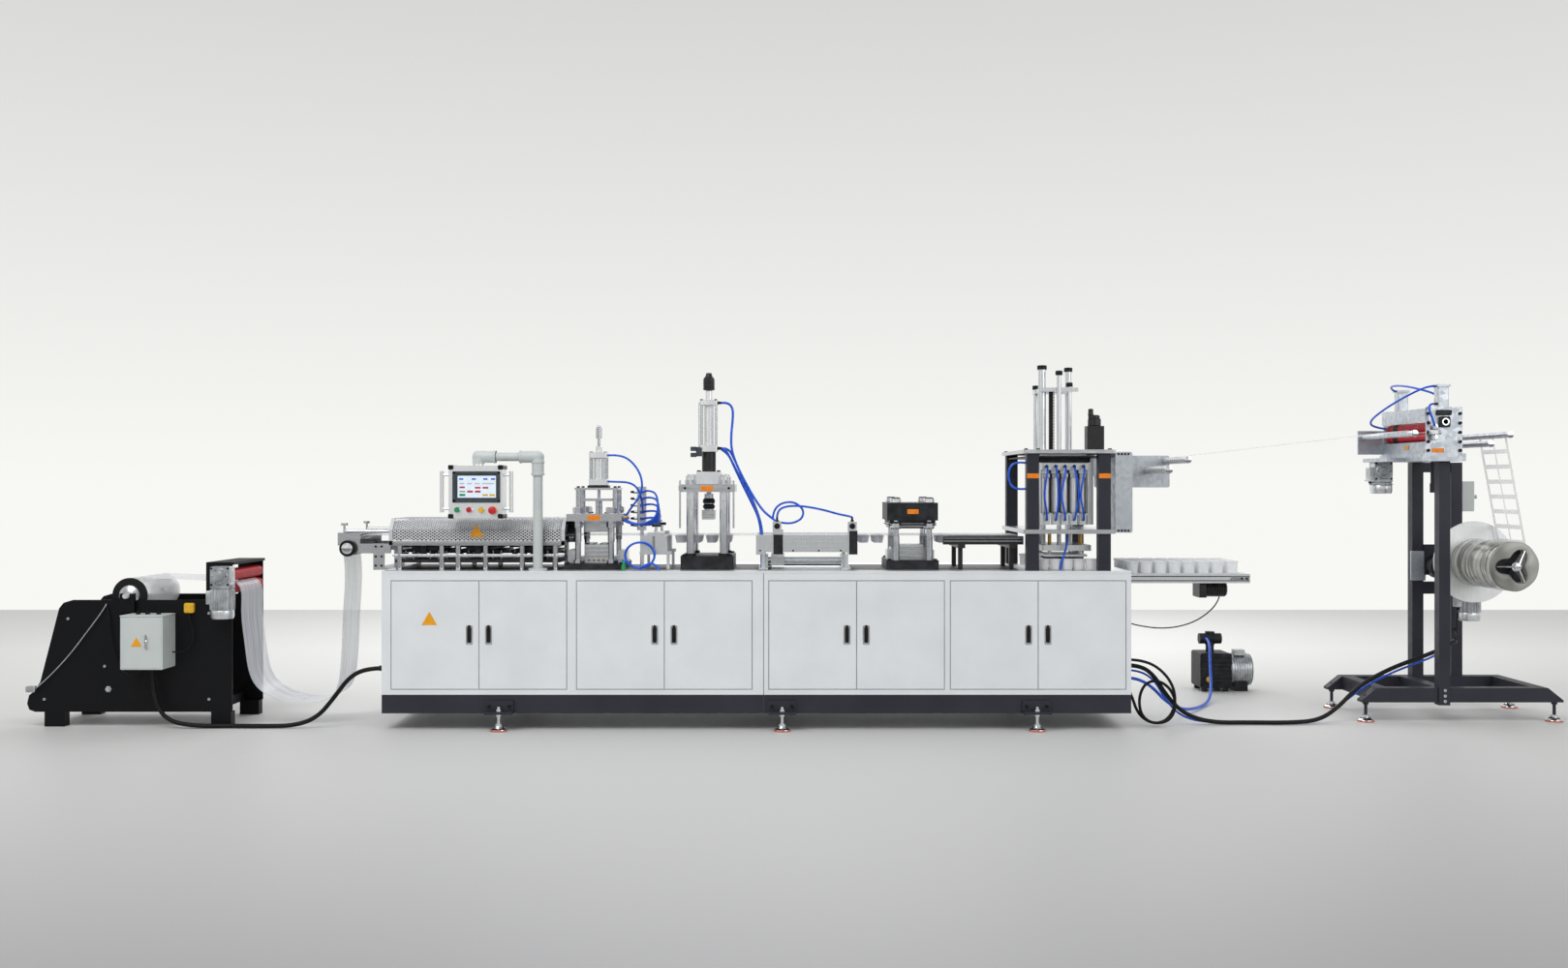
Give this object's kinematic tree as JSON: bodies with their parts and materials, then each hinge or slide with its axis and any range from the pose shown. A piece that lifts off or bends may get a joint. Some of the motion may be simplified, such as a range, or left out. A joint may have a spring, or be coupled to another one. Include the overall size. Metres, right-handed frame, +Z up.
{
  "type": "thermoforming machine",
  "caption": "Cup thermoforming line with film unwinder, cabinet with forming, punching and cutting stations, stacking tower, conveyor and waste winder.",
  "frame": {"origin": "underside of the middle front levelling foot of the cabinet, at floor level", "axes": "+X along the web from the unwinder to the winder, +Y to the back, +Z up"},
  "size_m": [8.483, 1.8049, 1.987],
  "materials": {
    "black_anodised": "black anodised",
    "black_cable": "ribbed sleeve",
    "black_rubber": "matt",
    "blue_hose": "polyurethane",
    "cast_aluminium": "cast",
    "clear_film": "clear",
    "dark_paint": "satin powder coat",
    "dark_plate": "blackened steel",
    "grey_paint": "textured powder coat",
    "ground_steel": "ground and polished",
    "machined_steel": "machined",
    "perforated_steel": "perforated sheet",
    "red_rubber": "ground rubber",
    "satin_aluminium": "anodised satin",
    "screen": "gloss",
    "white_paint": "satin powder coat",
    "wound_film": "wound film",
    "zinc_sheet": "galvanised",
    "zinc_steel": "zinc plated"
  },
  "bodies": {
    "line": {"base_frame": "dark_paint", "cabinet_front": "white_paint", "cabinet_walls": "white_paint", "conveyor": "satin_aluminium", "cups": "clear_film", "feed_beam": "satin_aluminium", "film_loop": "clear_film", "forming_plates": "machined_steel", "gearmotors": "cast_aluminium", "heater_cover": "perforated_steel", "heater_stand": "machined_steel", "hmi_post": "grey_paint", "inlet_bracket": "machined_steel", "levelling_feet": "zinc_steel", "outfeed_rail": "black_anodised", "press_bases": "dark_plate", "press_columns": "ground_steel", "press_cylinders": "satin_aluminium", "press_dies": "satin_aluminium", "pump_hose": "blue_hose", "punch_crosshead": "machined_steel", "table_top": "dark_plate", "tower_actuators": "satin_aluminium", "tower_cover": "zinc_sheet", "tower_plates": "machined_steel", "tower_posts": "dark_paint", "tower_servo": "black_anodised", "unwinder_box": "grey_paint", "unwinder_cable": "black_cable", "unwinder_frame": "dark_paint", "vacuum_pump": "dark_plate", "waste_web": "clear_film", "web_bars": "zinc_sheet", "web_guide": "satin_aluminium", "web_strip": "clear_film", "winder_cable": "black_cable", "winder_frame": "dark_paint", "winder_head": "zinc_sheet"},
    "hmi": {"hmi_case": "satin_aluminium", "hmi_screen": "screen"},
    "inlet_roller": {"inlet_roller": "black_rubber"},
    "forming_plug": {"forming_plug": "machined_steel"},
    "punch_ram": {"punch_ram": "machined_steel"},
    "feed_slider": {"feed_slider": "machined_steel"},
    "cutter_head": {"cutter_head": "dark_plate"},
    "pick_head": {"pick_head": "satin_aluminium"},
    "film_roll": {"film_roll": "clear_film"},
    "unwinder_nip_lower": {"unwinder_nip_lower": "red_rubber"},
    "unwinder_nip_upper": {"unwinder_nip_upper": "red_rubber"},
    "winder_nip_lower": {"winder_nip_lower": "red_rubber"},
    "winder_nip_upper": {"winder_nip_upper": "red_rubber"},
    "winder_reel": {"winder_reel": "wound_film"},
    "door_1": {"door_1": "white_paint"},
    "door_2": {"door_2": "white_paint"},
    "door_3": {"door_3": "white_paint"},
    "door_4": {"door_4": "white_paint"},
    "door_5": {"door_5": "white_paint"},
    "door_6": {"door_6": "white_paint"},
    "door_7": {"door_7": "white_paint"},
    "door_8": {"door_8": "white_paint"}
  },
  "joints": [
    {"name": "door_1_hinge", "type": "hinge", "parent": "line", "child": "door_1", "pos_m": [-2.0895, 0.04, 0.5], "axis": [0, 0, -1], "range_deg": [0, 90]},
    {"name": "door_2_hinge", "type": "hinge", "parent": "line", "child": "door_2", "pos_m": [-1.1765, 0.04, 0.5], "axis": [0, 0, 1], "range_deg": [0, 90]},
    {"name": "door_3_hinge", "type": "hinge", "parent": "line", "child": "door_3", "pos_m": [-1.091, 0.04, 0.5], "axis": [0, 0, -1], "range_deg": [0, 90]},
    {"name": "door_4_hinge", "type": "hinge", "parent": "line", "child": "door_4", "pos_m": [-0.178, 0.04, 0.5], "axis": [0, 0, 1], "range_deg": [0, 90]},
    {"name": "door_5_hinge", "type": "hinge", "parent": "line", "child": "door_5", "pos_m": [-0.0555, 0.04, 0.5], "axis": [0, 0, -1], "range_deg": [0, 90]},
    {"name": "door_6_hinge", "type": "hinge", "parent": "line", "child": "door_6", "pos_m": [0.8575, 0.04, 0.5], "axis": [0, 0, 1], "range_deg": [0, 90]},
    {"name": "door_7_hinge", "type": "hinge", "parent": "line", "child": "door_7", "pos_m": [0.9225, 0.04, 0.5], "axis": [0, 0, -1], "range_deg": [0, 90]},
    {"name": "door_8_hinge", "type": "hinge", "parent": "line", "child": "door_8", "pos_m": [1.8355, 0.04, 0.5], "axis": [0, 0, 1], "range_deg": [0, 90]},
    {"name": "panel_swivel", "type": "hinge", "parent": "line", "child": "hmi", "pos_m": [-1.647, 0.09, 1.43], "axis": [0, 0, 1], "range_deg": [-60, 60]},
    {"name": "inlet_spin", "type": "hinge", "parent": "line", "child": "inlet_roller", "pos_m": [-2.366, 0.37, 0.975], "axis": [0, 1, 0], "continuous": true},
    {"name": "plug_slide", "type": "slide", "parent": "line", "child": "forming_plug", "axis": [0, 0, 1], "range_m": [-0.038, 0]},
    {"name": "ram_slide", "type": "slide", "parent": "line", "child": "punch_ram", "axis": [0, 0, 1], "range_m": [-0.075, 0]},
    {"name": "feed_slide", "type": "slide", "parent": "line", "child": "feed_slider", "axis": [1, 0, 0], "range_m": [0, 0.24]},
    {"name": "cutter_slide", "type": "slide", "parent": "line", "child": "cutter_head", "axis": [0, 0, 1], "range_m": [-0.025, 0]},
    {"name": "pick_slide", "type": "slide", "parent": "line", "child": "pick_head", "axis": [0, 0, 1], "range_m": [-0.045, 0]},
    {"name": "film_roll_spin", "type": "hinge", "parent": "line", "child": "film_roll", "pos_m": [-3.57, 0.37, 0.716], "axis": [0, 1, 0], "continuous": true},
    {"name": "unwinder_nip_lower_spin", "type": "hinge", "parent": "line", "child": "unwinder_nip_lower", "pos_m": [-3.035, 0.37, 0.7565], "axis": [0, 1, 0], "continuous": true},
    {"name": "unwinder_nip_upper_spin", "type": "hinge", "parent": "line", "child": "unwinder_nip_upper", "pos_m": [-3.035, 0.37, 0.8275], "axis": [0, 1, 0], "continuous": true},
    {"name": "winder_nip_lower_spin", "type": "hinge", "parent": "line", "child": "winder_nip_lower", "pos_m": [3.61, 0.37, 1.5865], "axis": [0, 1, 0], "continuous": true},
    {"name": "winder_nip_upper_spin", "type": "hinge", "parent": "line", "child": "winder_nip_upper", "pos_m": [3.61, 0.37, 1.6455], "axis": [0, 1, 0], "continuous": true},
    {"name": "reel_spin", "type": "hinge", "parent": "line", "child": "winder_reel", "pos_m": [3.96, 0.37, 0.879], "axis": [0, 1, 0], "continuous": true}
  ],
  "couplings": [
    {"joint": "unwinder_nip_upper_spin", "follows": "unwinder_nip_lower_spin", "ratio": -1},
    {"joint": "winder_nip_upper_spin", "follows": "winder_nip_lower_spin", "ratio": -1}
  ]
}
